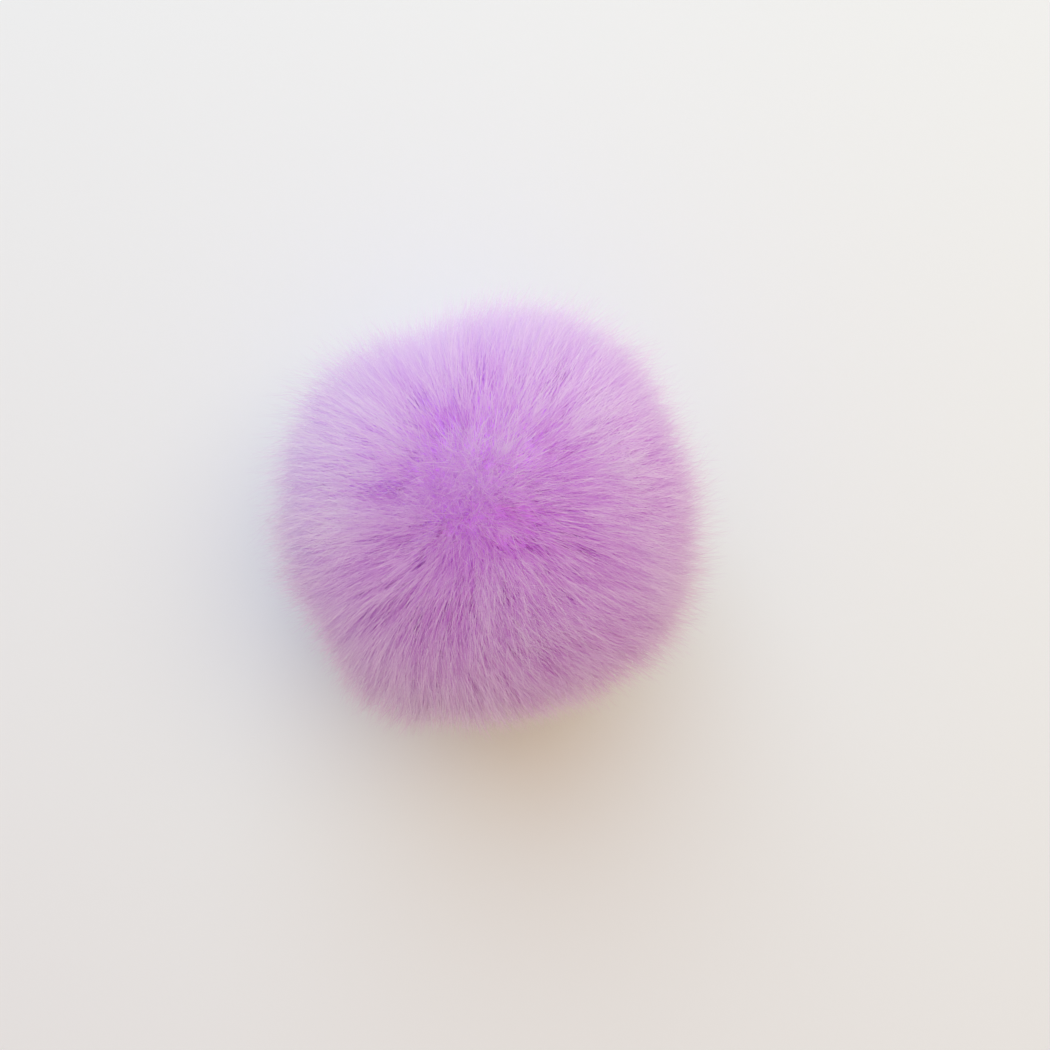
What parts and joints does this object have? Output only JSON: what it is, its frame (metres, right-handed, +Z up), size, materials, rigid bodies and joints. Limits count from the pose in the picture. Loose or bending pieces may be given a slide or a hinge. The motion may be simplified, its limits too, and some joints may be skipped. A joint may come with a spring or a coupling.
{
  "type": "pom pom",
  "caption": "Soft round faux-fur pom pom with long lilac pile fanning out from a crown, lying loose on a surface.",
  "frame": {"origin": "on the surface, under the middle of the ball's box", "axes": "+Z up from the surface through the ball to its crown, +X along the ball's width, +Y along its depth"},
  "size_m": [0.08, 0.0776, 0.069],
  "materials": {
    "lilac_fur": "long fine acrylic pile, matt with a soft sheen"
  },
  "bodies": {
    "root": {"fur_ball": "lilac_fur"}
  },
  "joints": []
}
